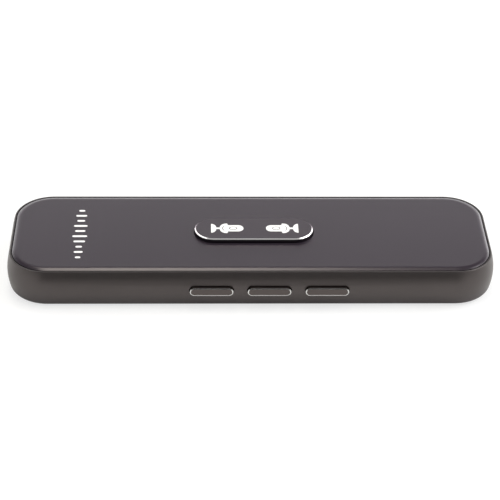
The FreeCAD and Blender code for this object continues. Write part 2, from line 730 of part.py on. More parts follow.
def make_pivot_bracket():
    """A strip bent up into two ears, drawn as its U section and cut for the pin."""
    body = new_body("pivot_bracket")
    section = new_sketch(body, "bracket_section", "YZ_Plane", z=-size("bracket_length") / 2)
    sheet_thick = size("bracket_thick")
    ear_top = pin_level + size("pin_radius") * 2
    points = [
        (-EAR_OUTSIDE, board_top),
        (EAR_OUTSIDE, board_top),
        (EAR_OUTSIDE, ear_top),
        (EAR_INSIDE, ear_top),
        (EAR_INSIDE, board_top + sheet_thick),
        (-EAR_INSIDE, board_top + sheet_thick),
        (-EAR_INSIDE, ear_top),
        (-EAR_OUTSIDE, ear_top),
    ]
    polygon(section, points)
    pad(body, "bracket_sheet", section, size("bracket_length"))
    holes = new_sketch(body, "bracket_holes", "XZ_Plane", y=pin_level, z=-EAR_OUTSIDE * 2)
    disc(holes, size("pin_radius"))
    pocket(body, "pin_holes", holes, EAR_OUTSIDE * 4)
    place(body, size("key_x"))
    keep(body, "pivot_bracket")


def make_key_mat():
    body = new_body("key_mat")
    window_width = (EAR_OUTSIDE + size("mat_gap")) * 2
    flat = new_sketch(body, "mat_outline", "XY_Plane")
    rounded_rectangle(flat, size("mat_length"), window_width + size("mat_web") * 2, size("mat_web"))
    rectangle(flat, size("bracket_length") + size("mat_gap") * 2, window_width)
    pad(body, "mat_sheet", flat, size("mat_thick"))
    posts = new_sketch(body, "post_outline", "XY_Plane", z=size("mat_thick"))
    recesses = new_sketch(body, "recess_outline", "XY_Plane")
    for side in (-1, 1):
        disc(posts, size("post_radius"), size("post_reach") * side)
        disc(recesses, size("dome_radius") + size("dome_room"), size("post_reach") * side)
    pad(body, "posts", posts, flange_under - board_top - size("mat_thick"))
    pocket(body, "dome_recesses", recesses, size("dome_rise") + size("dome_room"))
    place(body, size("key_x"), 0, board_top)
    keep(body, "key_mat")


def make_snap_domes():
    for label, side in (("left", -1), ("right", 1)):
        body = new_body("snap_dome_" + label)
        section = new_sketch(body, "dome_section_" + label, "XZ_Plane")
        rim = size("dome_radius")
        rise = size("dome_rise")
        outer = (rim * rim + rise * rise) / (rise * 2)
        inner_rim = rim - size("dome_thick")
        inner_rise = rise - size("dome_thick")
        inner = (inner_rim * inner_rim + inner_rise * inner_rise) / (inner_rise * 2)
        spans = []
        for radius, reach, height in ((outer, rim, rise), (inner, inner_rim, inner_rise)):
            lean = math.degrees(math.asin(reach.number / radius.number))
            item = section.addGeometry(arc(0, height - radius, radius, 90 - lean, 90))
            fix_point(section, item, 1, reach, 0)
            fix_point(section, item, 2, 0, height)
            constrain(section, "Radius", (item,), radius)
            spans.append(item)
        foot = section.addGeometry(line(inner_rim, 0, rim, 0))
        axis = section.addGeometry(line(0, rise, 0, inner_rise))
        section.addConstraint(Sketcher.Constraint("Coincident", spans[1], 1, foot, 1))
        section.addConstraint(Sketcher.Constraint("Coincident", foot, 2, spans[0], 1))
        section.addConstraint(Sketcher.Constraint("Coincident", spans[0], 2, axis, 1))
        section.addConstraint(Sketcher.Constraint("Coincident", axis, 2, spans[1], 2))
        feature = body.newObject("PartDesign::Revolution", "dome_" + label)
        feature.Profile = section
        feature.ReferenceAxis = (section, ["V_Axis"])
        feature.Angle = 360
        place(body, size("key_x") + size("post_reach") * side, 0, board_top)
        keep(body, "snap_dome_" + label)


# Side buttons and their switches
CAP_BACK = -cavity_half_width + size("button_seat")
NUB_END = CAP_BACK + size("button_flange") + size("nub_length")
SWITCH_FRONT = NUB_END + size("nub_gap") + size("plunger_out")


def make_side_buttons():
    for label, step in BUTTONS:
        body = new_body("side_button_" + label)
        face = new_sketch(body, "cap_outline_" + label, "XZ_Plane", z=-CAP_BACK)
        pill(face, size("button_length"), size("button_height"))
        pad(body, "cap_" + label, face, half_width + size("button_proud") + CAP_BACK)
        front = -(half_width + size("button_proud")).number
        bevel(
            body,
            "cap_bevel_" + label,
            lambda edge: edge.BoundBox.YMax < front + 1e-4,
            size("button_bevel_depth"),
            size("button_bevel_width"),
        )
        flange = new_sketch(body, "cap_flange_outline_" + label, "XZ_Plane", z=-CAP_BACK)
        lap = size("button_lap") * 2
        pill(flange, size("button_length") + lap, size("button_height") + lap)
        pad(body, "cap_flange_" + label, flange, size("button_flange"), backwards=True)
        nub = new_sketch(body, "nub_outline_" + label, "XZ_Plane", z=-CAP_BACK)
        disc(nub, size("nub_radius"))
        pad(body, "nub_" + label, nub, size("button_flange") + size("nub_length"), backwards=True)
        place(body, button_middle(step), 0, button_level)
        keep(body, "side_button_" + label)


def make_side_switches():
    plunger_front = NUB_END + size("nub_gap")
    for label, step in BUTTONS:
        body = new_body("side_switch_" + label)
        shell = new_sketch(body, "switch_outline_" + label, "XZ_Plane", z=-SWITCH_FRONT)
        rectangle(shell, size("switch_length"), size("switch_height"))
        pad(body, "switch_shell_" + label, shell, size("switch_depth"), backwards=True)
        slot = new_sketch(body, "slot_outline_" + label, "XZ_Plane", z=-SWITCH_FRONT)
        play = size("plunger_gap") * 2
        rectangle(slot, size("plunger_length") + play, size("plunger_height") + play)
        depth = size("plunger_in") + size("button_travel") + size("plunger_gap")
        pocket(body, "switch_slot_" + label, slot, depth, backwards=True)
        place(body, button_middle(step), 0, button_level)
        keep(body, "side_switch_" + label)
        plunger_depth = size("plunger_out") + size("plunger_in")
        plunger = block(
            "switch_plunger_" + label,
            size("plunger_length"),
            plunger_depth,
            size("plunger_height"),
            button_middle(step),
            plunger_front + plunger_depth / 2,
            button_level - size("plunger_height") / 2,
        )
        keep(plunger, "switch_plunger_" + label)


# Main board, its screws and what is soldered to it
BOARD_HALF_LENGTH = cavity_half_length - size("board_margin")
BOARD_HALF_WIDTH = cavity_half_width - size("board_margin")


def make_main_board():
    body = new_body("main_board")
    flat = new_sketch(body, "board_outline", "XY_Plane")
    corner = cavity_corner - size("board_margin")
    rounded_rectangle(flat, BOARD_HALF_LENGTH * 2, BOARD_HALF_WIDTH * 2, corner)
    for x, y in BOSSES:
        disc(flat, size("screw_radius") + size("screw_hole_gap"), x, y)
    pad(body, "board", flat, size("board_thick"))
    place(body, z=board_under)
    keep(body, "main_board")


def make_board_screws():
    """Four pan-head screws with a cross recess, each a solid of its own."""
    screws = []
    for number, (x, y) in enumerate(BOSSES, start=1):
        shank = doc.addObject("Part::Cylinder", "screw_shank_%d" % number)
        bind(shank, "Radius", size("screw_radius"))
        bind(shank, "Height", size("screw_length") + size("screw_head_thick") / 2)
        place(shank, x, y, board_top - size("screw_length"))
        head = doc.addObject("Part::Cylinder", "screw_head_%d" % number)
        bind(head, "Radius", size("screw_head_radius"))
        bind(head, "Height", size("screw_head_thick"))
        place(head, x, y, board_top)
        slot = (size("screw_slot_long"), size("screw_slot_wide"))
        deep = size("screw_slot_deep")
        floor = board_top + size("screw_head_thick") - deep
        along = block("screw_slot_a_%d" % number, slot[0], slot[1], deep, x, y, floor)
        across = block("screw_slot_b_%d" % number, slot[1], slot[0], deep, x, y, floor)
        joined = doc.addObject("Part::MultiFuse", "screw_blank_%d" % number)
        joined.Shapes = [shank, head]
        cross = doc.addObject("Part::MultiFuse", "screw_cross_%d" % number)
        cross.Shapes = [along, across]
        screw = doc.addObject("Part::Cut", "screw_%d" % number)
        screw.Base = joined
        screw.Tool = cross
        screws.append(screw)
    keep(group("board_screws", screws), "board_screws")


# Places along the bar that the pieces on the board are measured from
CAN_MIDDLE = size("can_from_end") - BOARD_HALF_LENGTH
BOARD_DATUMS = {
    "left end": -BOARD_HALF_LENGTH,
    "right end": BOARD_HALF_LENGTH,
    "can middle": CAN_MIDDLE,
    "can end": CAN_MIDDLE - size("can_length") / 2,
}


def make_chips():
    for name, _, _, _, datum, _, _ in CHIPS:
        chip = block(
            name,
            size(name + "_length"),
            size(name + "_width"),
            size(name + "_height"),
            BOARD_DATUMS[datum] + size(name + "_x"),
            size(name + "_y"),
            board_top,
        )
        keep(chip, name)
    parts = []
    shape = (size("passive_length"), size("passive_width"), size("passive_height"))
    for number, (datum, _, _) in enumerate(PASSIVES, start=1):
        x = BOARD_DATUMS[datum] + size("passive_%d_x" % number)
        y = size("passive_%d_y" % number)
        parts.append(block("passive_%d" % number, *shape, x, y, board_top))
    keep(group("passives", parts), "passives")


def make_shield_can():
    body = new_body("shield_can")
    outer = new_sketch(body, "can_outline", "XY_Plane")
    sheet_thick = size("can_sheet")
    rounded_rectangle(outer, size("can_length"), size("can_width"), size("can_corner"))
    pad(body, "can", outer, size("can_height"))
    inner = new_sketch(body, "can_inside", "XY_Plane")
    rounded_rectangle(
        inner,
        size("can_length") - sheet_thick * 2,
        size("can_width") - sheet_thick * 2,
        size("can_corner") - sheet_thick,
    )
    pocket(body, "can_hollow", inner, size("can_height") - sheet_thick)
    place(body, BOARD_DATUMS["can middle"], 0, board_top)
    keep(body, "shield_can")


# Battery
CELL_FRONT = SWITCH_FRONT + size("switch_depth") + size("cell_switch_gap")
CELL_BACK = cavity_half_width - size("cell_wall_gap")
CELL_LEFT = -(BOSS_X - size("boss_radius") - size("cell_boss_gap"))
CELL_END = SPEAKER_X - size("speaker_length") / 2 - size("cell_speaker_gap")
CELL_X = (CELL_LEFT + CELL_END) / 2
CELL_Y = (CELL_FRONT + CELL_BACK) / 2
CELL_LENGTH = CELL_END - CELL_LEFT
CELL_WIDTH = CELL_BACK - CELL_FRONT
CELL_LEVEL = size("floor_thick") + size("pad_thick") + size("cell_thick") / 2


def make_battery():
    body = new_body("battery")
    section = new_sketch(body, "pouch_section", "YZ_Plane", z=-CELL_LENGTH / 2)
    rounded_rectangle(section, CELL_WIDTH, size("cell_thick"), size("cell_round"))
    pad(body, "pouch", section, CELL_LENGTH)
    place(body, CELL_X, CELL_Y, CELL_LEVEL)
    keep(body, "battery")
    margin = size("pad_margin") * 2
    sheet_pad = block(
        "battery_pad",
        CELL_LENGTH - margin,
        CELL_WIDTH - margin,
        size("pad_thick"),
        CELL_X,
        CELL_Y,
        size("floor_thick"),
    )
    keep(sheet_pad, "battery_pad")
    protection = block(
        "battery_board",
        size("cell_board_depth"),
        CELL_WIDTH - margin,
        size("cell_board_thick"),
        CELL_END + size("cell_board_depth") / 2,
        CELL_Y,
        CELL_LEVEL - size("cell_board_thick") / 2,
    )
    keep(protection, "battery_board")


def wire_up(name, x, y, low, high, reach):
    """A lead that rises from a pad, runs along the bar and rises again to the board's underside."""
    body = new_body(name)
    path = new_sketch(body, name + "_path", "XZ_Plane")
    height = high - low
    bend = height / 2 - size("wire_stub")
    run = as_size(reach)
    first = path.addGeometry(line(0, 0, 0, height / 2 - bend))
    turn = path.addGeometry(arc(bend, height / 2 - bend, bend, 90, 180))
    middle = path.addGeometry(line(bend, height / 2, run - bend, height / 2))
    turn_up = path.addGeometry(arc(run - bend, height / 2 + bend, bend, 270, 360))
    last = path.addGeometry(line(run, height / 2 + bend, run, height))
    path.addConstraint(Sketcher.Constraint("Tangent", first, 2, turn, 2))
    path.addConstraint(Sketcher.Constraint("Tangent", turn, 1, middle, 1))
    path.addConstraint(Sketcher.Constraint("Tangent", middle, 2, turn_up, 1))
    path.addConstraint(Sketcher.Constraint("Tangent", turn_up, 2, last, 1))
    constrain(path, "Radius", (turn,), bend)
    path.addConstraint(Sketcher.Constraint("Equal", turn, turn_up))
    path.addConstraint(Sketcher.Constraint("Vertical", first))
    path.addConstraint(Sketcher.Constraint("Horizontal", middle))
    fix_point(path, first, 1, 0, 0)
    fix_point(path, last, 2, run, height)
    constrain(path, "DistanceY", (-1, 1, middle, 1), height / 2)
    path.addConstraint(Sketcher.Constraint("Vertical", last))
    sheathe(body, name, path, 5)
    place(body, x, y, low)
    keep(body, name)


def wire_across(name, x, y, low, high, reach):
    """A lead that rises from a pad and bends once, to end on a face that stands across the bar."""
    body = new_body(name)
    path = new_sketch(body, name + "_path", "XZ_Plane")
    height = high - low
    bend = height - size("wire_stub")
    run = as_size(reach)
    first = path.addGeometry(line(0, 0, 0, height - bend))
    turn = path.addGeometry(arc(bend, height - bend, bend, 90, 180))
    last = path.addGeometry(line(bend, height, run, height))
    path.addConstraint(Sketcher.Constraint("Tangent", first, 2, turn, 2))
    path.addConstraint(Sketcher.Constraint("Tangent", turn, 1, last, 1))
    constrain(path, "Radius", (turn,), bend)
    path.addConstraint(Sketcher.Constraint("Vertical", first))
    path.addConstraint(Sketcher.Constraint("Horizontal", last))
    fix_point(path, first, 1, 0, 0)
    fix_point(path, last, 2, run, height)
    sheathe(body, name, path, 3)
    place(body, x, y, low)
    keep(body, name)


def sheathe(body, name, path, pieces):
    """A round lead along a path of so many pieces, which starts upwards."""
    section = new_sketch(body, name + "_section", "XY_Plane")
    disc(section, size("wire_radius"))
    feature = body.newObject("PartDesign::AdditivePipe", name + "_tube")
    feature.Profile = section
    feature.Spine = (path, ["Edge%d" % number for number in range(1, pieces + 1)])


LEADS = (("red", 1), ("black", -1))


def make_battery_leads():
    pads = CELL_LEVEL + size("cell_board_thick") / 2
    start = CELL_END + size("cell_board_depth") / 2
    socket_x = start + size("battery_lead_reach")
    socket = block(
        "battery_socket",
        size("socket_length"),
        size("socket_width"),
        size("socket_height"),
        socket_x,
        CELL_Y,
        board_under - size("socket_height"),
    )
    keep(socket, "battery_socket")
    level = board_under - size("socket_height") / 2
    for colour, side in LEADS:
        y = CELL_Y + size("wire_spacing") / 2 * side
        reach = socket_x - size("socket_length") / 2 - start
        wire_across("battery_lead_" + colour, start, y, pads, level, reach)


# Speaker
SPEAKER_FLOOR = size("floor_thick") + size("gasket_thick")
SPEAKER_TOP = SPEAKER_FLOOR + size("speaker_thick")


def speaker_outline(body, name, inset, z=0):
    """The speaker's rounded outline, drawn in by an inset."""
    flat = new_sketch(body, name, "XY_Plane", z=z)
    add_speaker_outline(flat, inset)
    return flat


def add_speaker_outline(flat, inset):
    rounded_rectangle(
        flat,
        size("speaker_length") - inset * 2,
        size("speaker_width") - inset * 2,
        size("speaker_corner") - inset,
    )


def make_speaker():
    gasket = new_body("speaker_gasket")
    foam = speaker_outline(gasket, "gasket_outline", as_size(0))
    add_speaker_outline(foam, size("gasket_width"))
    pad(gasket, "gasket", foam, size("gasket_thick"))
    place(gasket, SPEAKER_X, 0, size("floor_thick"))
    keep(gasket, "speaker_gasket")
    mesh = new_body("speaker_mesh")
    cloth = speaker_outline(mesh, "mesh_outline", size("gasket_width") + size("mesh_gap"))
    pad(mesh, "mesh", cloth, size("mesh_thick"))
    place(mesh, SPEAKER_X, 0, size("floor_thick"))
    keep(mesh, "speaker_mesh")
    basket = new_body("speaker_basket")
    walls = speaker_outline(basket, "basket_outline", as_size(0))
    add_speaker_outline(walls, size("speaker_rim"))
    pad(basket, "basket_wall", walls, size("speaker_thick"))
    back_level = size("speaker_thick") - size("speaker_back")
    back = speaker_outline(basket, "basket_back", size("speaker_rim") / 4, back_level)
    rectangle(back, size("magnet_length"), size("magnet_width"))
    pad(basket, "basket_plate", back, size("speaker_back"))
    place(basket, SPEAKER_X, 0, SPEAKER_FLOOR)
    keep(basket, "speaker_basket")
    cone = new_body("speaker_diaphragm")
    film = speaker_outline(cone, "film_outline", size("speaker_rim"))
    pad(cone, "film", film, size("film_thick"))
    crown = new_sketch(cone, "crown_outline", "XY_Plane")
    rounded_rectangle(crown, size("magnet_length"), size("magnet_width"), size("film_corner"))
    pad(cone, "crown", crown, size("film_crown"))
    place(cone, SPEAKER_X, 0, SPEAKER_FLOOR + size("film_setback"))
    keep(cone, "speaker_diaphragm")
    magnet = block(
        "speaker_magnet",
        size("magnet_length"),
        size("magnet_width"),
        size("magnet_thick"),
        SPEAKER_X,
        0,
        SPEAKER_TOP - size("magnet_thick"),
    )
    keep(magnet, "speaker_magnet")
    start = SPEAKER_X + size("magnet_length") / 2 + size("terminal_inset")
    for colour, side in LEADS:
        y = size("wire_spacing") * side
        name = "speaker_lead_" + colour
        wire_up(name, start, y, SPEAKER_TOP, board_under, size("speaker_lead_reach"))


# Charging socket
USB_MOUTH = half_length - size("usb_recess")


def make_usb_socket():
    shell = new_body("usb_shell")
    outer = new_sketch(shell, "shell_outline", "YZ_Plane")
    pill(outer, size("usb_width"), size("usb_height"))
    pad(shell, "shell_skin", outer, size("usb_depth"))
    inner = new_sketch(shell, "shell_inside", "YZ_Plane", z=size("usb_sheet"))
    pill(inner, size("usb_width") - size("usb_sheet") * 2, size("usb_height") - size("usb_sheet") * 2)
    pocket(shell, "shell_hollow", inner, size("usb_depth"))
    place(shell, USB_MOUTH - size("usb_depth"), 0, USB_LEVEL)
    keep(shell, "usb_shell")
    tongue = new_body("usb_tongue")
    root = new_sketch(tongue, "tongue_root", "YZ_Plane")
    pill(root, size("usb_width") - size("usb_sheet") * 2, size("usb_height") - size("usb_sheet") * 2)
    root_depth = size("usb_depth") - size("usb_sheet") - size("tongue_reach") - size("tongue_setback")
    pad(tongue, "tongue_block", root, root_depth)
    blade = new_sketch(tongue, "tongue_blade", "YZ_Plane")
    rectangle(blade, size("tongue_width"), size("tongue_thick"))
    pad(tongue, "blade", blade, root_depth + size("tongue_reach"))
    place(tongue, USB_MOUTH - size("usb_depth") + size("usb_sheet"), 0, USB_LEVEL)
    keep(tongue, "usb_tongue")
    contacts = []
    start = USB_MOUTH - size("usb_depth") + size("usb_sheet") + root_depth
    contact_length = size("tongue_reach") - size("contact_setback")
    half_tongue = size("tongue_thick") / 2
    faces = (("top", half_tongue), ("under", -half_tongue - size("contact_thick")))
    count = int(size("contact_count").number)
    for number in range(count):
        y = size("contact_pitch") * (number - (count - 1) / 2)
        for face, low in faces:
            contacts.append(
                block(
                    "contact_%s_%d" % (face, number + 1),
                    contact_length,
                    size("contact_width"),
                    size("contact_thick"),
                    start + contact_length / 2,
                    y,
                    USB_LEVEL + low,
                )
            )
    keep(group("usb_contacts", contacts), "usb_contacts")


# Microphones and charge light
def make_microphones():
    """A rubber boot that seals each microphone to its hole, with a bent sound duct inside."""
    boot_end = cavity_half_length - size("boot_gap")
    boot_middle = boot_end - size("boot_length") / 2
    mic_x = boot_end - size("boot_length") + size("boot_back") + size("mic_length") / 2
    duct_level = SOUND_LEVEL - board_under + size("boot_height")
    for label, side, y in (("left", -1, 0), ("right", 1, MIC_Y)):
        body = new_body("mic_boot_" + label)
        outline = new_sketch(body, "boot_outline_" + label, "XY_Plane", x=boot_middle * side)
        rectangle(outline, size("boot_length"), size("boot_width"))
        pad(body, "boot_" + label, outline, size("boot_height"))
        floor = size("boot_height") - size("mic_thick")
        seat = new_sketch(body, "boot_seat_" + label, "XY_Plane", x=mic_x * side, z=floor)
        rectangle(seat, size("mic_length"), size("mic_width"))
        pocket(body, "boot_pocket_" + label, seat, size("mic_thick") + size("cut_margin"))
        port = new_sketch(body, "boot_port_" + label, "XY_Plane", x=mic_x * side, z=duct_level)
        disc(port, size("sound_hole_radius"))
        pocket(body, "boot_riser_" + label, port, size("boot_height"))
        channel = new_sketch(body, "boot_channel_" + label, "YZ_Plane", y=duct_level, z=mic_x * side)
        disc(channel, size("sound_hole_radius"))
        pocket(body, "boot_duct_" + label, channel, size("boot_length"), backwards=side < 0)
        place(body, 0, y, board_under - size("boot_height"))
        keep(body, "mic_boot_" + label)
        capsule = block(
            "mic_" + label,
            size("mic_length"),
            size("mic_width"),
            size("mic_thick"),
            mic_x * side,
            y,
            board_under - size("mic_thick"),
        )
        keep(capsule, "mic_" + label)


def make_charge_light():
    guide = doc.addObject("Part::Cylinder", "light_guide")
    start = cavity_half_length - size("light_reach")
    bind(guide, "Radius", size("light_radius"))
    bind(guide, "Height", half_length - size("light_recess") - start)
    guide.Placement.Rotation = FreeCAD.Rotation(Vector(0, 1, 0), 90)
    place(guide, start, LIGHT_Y, LIGHT_LEVEL)
    keep(guide, "light_guide")
    led_x = start - size("led_gap") - size("led_length") / 2
    led = block(
        "status_led",
        size("led_length"),
        size("led_width"),
        size("led_height"),
        led_x,
        LIGHT_Y,
        board_under - size("led_height"),
    )
    keep(led, "status_led")


make_casing()
make_top_plate()
make_plate_tape()
make_rocker_key()
make_key_pin()
make_pivot_bracket()
make_key_mat()
make_snap_domes()
make_side_buttons()
make_side_switches()
make_main_board()
make_board_screws()
make_chips()
make_shield_can()
make_battery()
make_battery_leads()
make_speaker()
make_usb_socket()
make_microphones()
make_charge_light()
doc.recompute()

# Nothing is written unless every object and every sub-part is sound
faults = []
for thing in doc.Objects:
    for state in thing.State:
        if state in ("Invalid", "Error"):
            faults.append("%s is %s" % (thing.Name, state))
for node in NODES:
    if node.Shape.isNull() or not node.Shape.isValid() or not node.Shape.Solids:
        faults.append("%s has no sound shape" % node.Label)
if faults:
    raise RuntimeError("; ".join(faults))
os.makedirs("parts", exist_ok=True)
for node in NODES:
    node.Shape.exportStep(os.path.join("parts", node.Label + ".step"))
    box = node.Shape.BoundBox
    print(
        "%-22s solids %2d volume %9.2f  x %.2f..%.2f y %.2f..%.2f z %.2f..%.2f"
        % (
            node.Label, len(node.Shape.Solids), node.Shape.Volume,
            box.XMin, box.XMax, box.YMin, box.YMax, box.ZMin, box.ZMax,
        )
    )
print("pin axis at x %.3f z %.3f" % (size("key_x").number, pin_level.number))
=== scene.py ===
# %% [markdown]
# # Dressing a handheld translator
#
# The object is a slim dark bar with a rocker key on top and three small buttons in one long side.
# Its shapes come from an engineering model that is loaded as a fixed frame, in metres. This lesson
# adds what that model leaves out: the finish of every surface, the white printing, the studio and
# the camera. Nothing from the frame is moved or reshaped on the way.

# %% Load the frame
import bpy
import bmesh
import json
import math
from mathutils import Matrix, Vector


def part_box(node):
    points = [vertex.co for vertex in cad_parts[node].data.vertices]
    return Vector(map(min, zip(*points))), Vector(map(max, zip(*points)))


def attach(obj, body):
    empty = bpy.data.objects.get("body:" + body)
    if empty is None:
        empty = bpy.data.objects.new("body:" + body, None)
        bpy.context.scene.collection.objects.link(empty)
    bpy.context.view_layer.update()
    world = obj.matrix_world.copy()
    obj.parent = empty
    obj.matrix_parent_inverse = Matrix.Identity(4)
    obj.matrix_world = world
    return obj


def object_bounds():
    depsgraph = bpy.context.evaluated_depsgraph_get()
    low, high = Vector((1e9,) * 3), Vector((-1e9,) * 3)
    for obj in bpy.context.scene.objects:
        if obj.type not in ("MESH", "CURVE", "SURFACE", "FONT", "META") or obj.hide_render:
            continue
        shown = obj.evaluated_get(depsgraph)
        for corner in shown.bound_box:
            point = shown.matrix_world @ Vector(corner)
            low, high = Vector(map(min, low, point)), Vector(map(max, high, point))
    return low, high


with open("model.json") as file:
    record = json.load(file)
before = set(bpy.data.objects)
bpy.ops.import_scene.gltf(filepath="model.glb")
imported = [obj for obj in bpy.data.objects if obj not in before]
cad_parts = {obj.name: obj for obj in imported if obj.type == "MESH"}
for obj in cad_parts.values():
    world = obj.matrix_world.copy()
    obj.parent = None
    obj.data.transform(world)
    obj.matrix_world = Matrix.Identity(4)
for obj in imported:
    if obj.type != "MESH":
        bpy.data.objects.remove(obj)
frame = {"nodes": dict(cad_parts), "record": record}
cad_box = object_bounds()
nodes = frame["nodes"]
print("pieces in the frame:", len(nodes))
print("size in mm:", [round(1000 * side, 2) for side in cad_box[1] - cad_box[0]])

# %% [markdown]
# Small things are easier to describe in millimetres, while Blender's unit here is the metre. One
# named factor keeps both readable: 12 * MM is twelve millimetres.

# %% Millimetres
MM = 0.001

# %% [markdown]
# ## The camera
#
# The photograph was taken with a long lens from the front, a good third of the way up, so the bar
# shows its top and its front wall and hardly narrows towards the back. Guessing such a view by eye
# takes many tries. Here the outline of the bar was used to work out the distance, the angles and
# the lens, and the camera is built from those few numbers.

# %% Camera
LENS = 126.2
DISTANCE = 516.7 * MM
ELEVATION = math.radians(34.10)
SWING = math.radians(-2.00)
ROLL = math.radians(1.10)
TARGET = Vector((-0.10, 0.0, 5.61)) * MM

camera = bpy.data.objects.new("camera", bpy.data.cameras.new("camera"))
camera.data.sensor_width = 36.0
camera.data.lens = LENS
camera.data.clip_start = 0.01
bpy.context.scene.collection.objects.link(camera)
bpy.context.scene.camera = camera
turn = Matrix.Rotation(SWING, 3, "Z")
back = turn @ Vector((0.0, -math.cos(ELEVATION), math.sin(ELEVATION)))
camera.rotation_mode = "QUATERNION"
camera.rotation_quaternion = (
    (-back).to_track_quat("-Z", "Y") @ Matrix.Rotation(ROLL, 3, "Z").to_quaternion()
)
camera.location = turn @ TARGET + back * DISTANCE
print("camera stands at", [round(value, 4) for value in camera.location])

# %% [markdown]
# ## The studio
#
# Dark glossy things are lit by what they mirror, so each lamp is placed for one mirror image. The
# flat top mirrors the air behind the bar: a wide even panel stands there, and a brighter one below
# it makes the thin light line along the far edge. The curved front edge of the plate mirrors the
# sky from there to straight above, where a narrow lamp hangs. It ends over the bar, which is why
# the bright line along the front edge fades out to the right. The polished bevels mirror the two
# sides, where a long lamp slants from above the camera down to the floor behind, and the front,
# where a dim one stands. Seen from above, an upright wall mirrors the floor beside it, so a small
# lamp close to the right end brightens the floor there: that end is the lighter one in the
# photograph. A wide lamp overhead only lifts the shadows. A lamp's power is worked out from the
# brightness that it should have, so that a wider lamp isn't a brighter one.

# %% Lamps
PLAIN_LIGHT = (1.0, 1.0, 1.0)
WARM_LIGHT = (1.0, 0.98, 0.86)


def area_lamp(name, azimuth, elevation, distance, width, height, brightness, roll=0.0, shift=0.0,
              colour=PLAIN_LIGHT):
    """A lamp that looks at the bar. Azimuth 0 is in front of it, 90 on its right."""
    light = bpy.data.lights.new(name, "AREA")
    light.color = colour
    light.shape = "RECTANGLE"
    light.size = width
    light.size_y = height
    light.energy = math.pi * width * height * brightness
    lamp = bpy.data.objects.new(name, light)
    lamp.visible_camera = False
    a = math.radians(azimuth)
    e = math.radians(elevation)
    away = Vector((math.sin(a) * math.cos(e), -math.cos(a) * math.cos(e), math.sin(e)))
    lamp.location = away * distance + Vector((shift, 0.0, 0.0))
    lamp.rotation_mode = "QUATERNION"
    spin = Matrix.Rotation(math.radians(roll), 3, "Z").to_quaternion()
    lamp.rotation_quaternion = (-away).to_track_quat("-Z", "Y") @ spin
    bpy.context.scene.collection.objects.link(lamp)
    print(name, "power", round(light.energy, 2))


area_lamp("back_panel", 180, 32.5, 1.6, 2.6, 0.42, 0.76)
area_lamp("back_low", 180, 15, 1.6, 2.6, 0.58, 2.5)
area_lamp("sky_lamp", 180, 75, 1.2, 0.36, 0.72, 7.4, shift=-0.075, colour=WARM_LIGHT)
area_lamp("left_box", -108, 34, 1.2, 2.5, 0.5, 1.5, roll=30)
area_lamp("right_box", 108, 34, 1.2, 2.5, 0.5, 2.7, roll=-30)
area_lamp("right_pool", 100, 55, 0.55, 0.30, 0.30, 5.0, shift=0.16)
area_lamp("front_fill", 0, 57, 1.5, 1.4, 0.45, 0.30)
area_lamp("overhead", 0, 80, 1.4, 1.2, 0.30, 2.2)

# %% [markdown]
# The rest of the room is an even dim grey. It fills the shadows a little and gives the polished
# metal something dark to mirror between the lamps.

# %% World
ROOM_GREY = 0.12
world = bpy.data.worlds.new("room")
world.use_nodes = True
background = world.node_tree.nodes["Background"]
background.inputs["Color"].default_value = (ROOM_GREY, ROOM_GREY, ROOM_GREY, 1.0)
bpy.context.scene.world = world
bpy.context.scene.view_settings.view_transform = "Standard"

# %% [markdown]
# The floor has to look white while the bar's soft shadow stays on it. Turning the lamps up would do
# it, but then the bar would be too bright as well. So the floor's own material is mixed: rays that
# the camera sees, directly or in a mirror or through glass, find a part that glows a little and a
# part that takes light and shadow, and every other ray finds plain white paint.

# %% Floor
PAINT_GREY = 0.8
SEEN_SHADE = 0.34
SEEN_GLOW = 0.70
MIRRORED_SHADE = 0.80
MIRRORED_GLOW = 0.22
FLOOR_SIDE = 6.0
FLOOR_GAP = 0.02 * MM


def glowing_paper(tree, shade_grey, glow_strength):
    """Paper that takes light and shadow, and glows a little by itself."""
    shade = tree.nodes.new("ShaderNodeBsdfDiffuse")
    shade.inputs["Color"].default_value = (shade_grey, shade_grey, shade_grey, 1.0)
    glow = tree.nodes.new("ShaderNodeEmission")
    glow.inputs["Strength"].default_value = glow_strength
    both = tree.nodes.new("ShaderNodeAddShader")
    tree.links.new(shade.outputs["BSDF"], both.inputs[0])
    tree.links.new(glow.outputs["Emission"], both.inputs[1])
    return both.outputs["Shader"]


def either(tree, switch, when_off, when_on):
    """Shows one of two shaders, by a switch that is 0 or 1."""
    choice = tree.nodes.new("ShaderNodeMixShader")
    tree.links.new(switch, choice.inputs["Fac"])
    tree.links.new(when_off, choice.inputs[1])
    tree.links.new(when_on, choice.inputs[2])
    return choice.outputs["Shader"]


def paper_floor():
    material = bpy.data.materials.new("paper_floor")
    material.use_nodes = True
    tree = material.node_tree
    tree.nodes.clear()
    paint = tree.nodes.new("ShaderNodeBsdfDiffuse")
    paint.inputs["Color"].default_value = (PAINT_GREY, PAINT_GREY, PAINT_GREY, 1.0)
    path = tree.nodes.new("ShaderNodeLightPath")
    seen = glowing_paper(tree, SEEN_SHADE, SEEN_GLOW)
    mirrored = glowing_paper(tree, MIRRORED_SHADE, MIRRORED_GLOW)
    shader = either(tree, path.outputs["Is Camera Ray"], paint.outputs["BSDF"], seen)
    for ray in ("Is Glossy Ray", "Is Transmission Ray"):
        shader = either(tree, path.outputs[ray], shader, mirrored)
    output = tree.nodes.new("ShaderNodeOutputMaterial")
    tree.links.new(shader, output.inputs["Surface"])
    return material


def sheet(name, corners, material):
    """A thin sheet with four corners."""
    mesh = bpy.data.meshes.new(name)
    mesh.from_pydata(corners, [], [(0, 1, 2, 3)])
    mesh.materials.append(material)
    piece = bpy.data.objects.new(name, mesh)
    bpy.context.scene.collection.objects.link(piece)
    return piece


